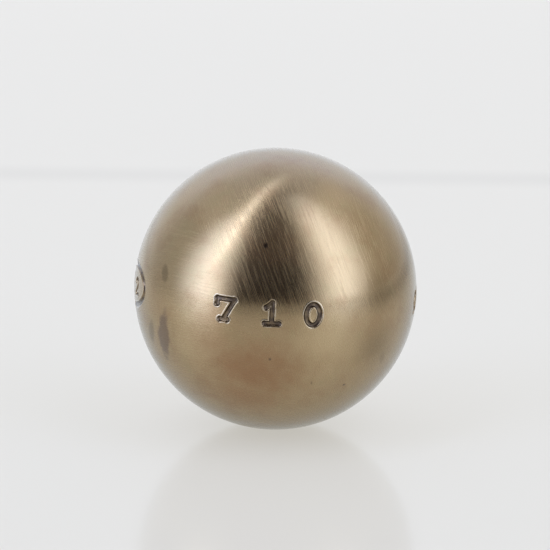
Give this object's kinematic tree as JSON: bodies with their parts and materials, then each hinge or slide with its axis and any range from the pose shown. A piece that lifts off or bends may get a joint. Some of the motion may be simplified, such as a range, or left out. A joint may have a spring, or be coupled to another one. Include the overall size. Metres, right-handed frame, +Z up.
{
  "type": "petanque boule",
  "caption": "Hollow round steel throwing ball for petanque, half shells joined by a flush weld, with a brushed bronze-brown surface.",
  "frame": {"origin": "centre of the ball", "axes": "+Z up as the ball stands in the picture, a few degrees off square to the ring that the stamped figures follow; +Y along the axis of the weld, from the front half shell to the rear one, so the weld runs round the ball in the XZ plane"},
  "size_m": [0.074, 0.074, 0.074],
  "materials": {
    "shell_steel": "satin",
    "weld_steel": "satin"
  },
  "bodies": {
    "root": {"front_half_shell": "shell_steel", "rear_half_shell": "shell_steel", "weld_bead": "weld_steel"}
  },
  "joints": []
}
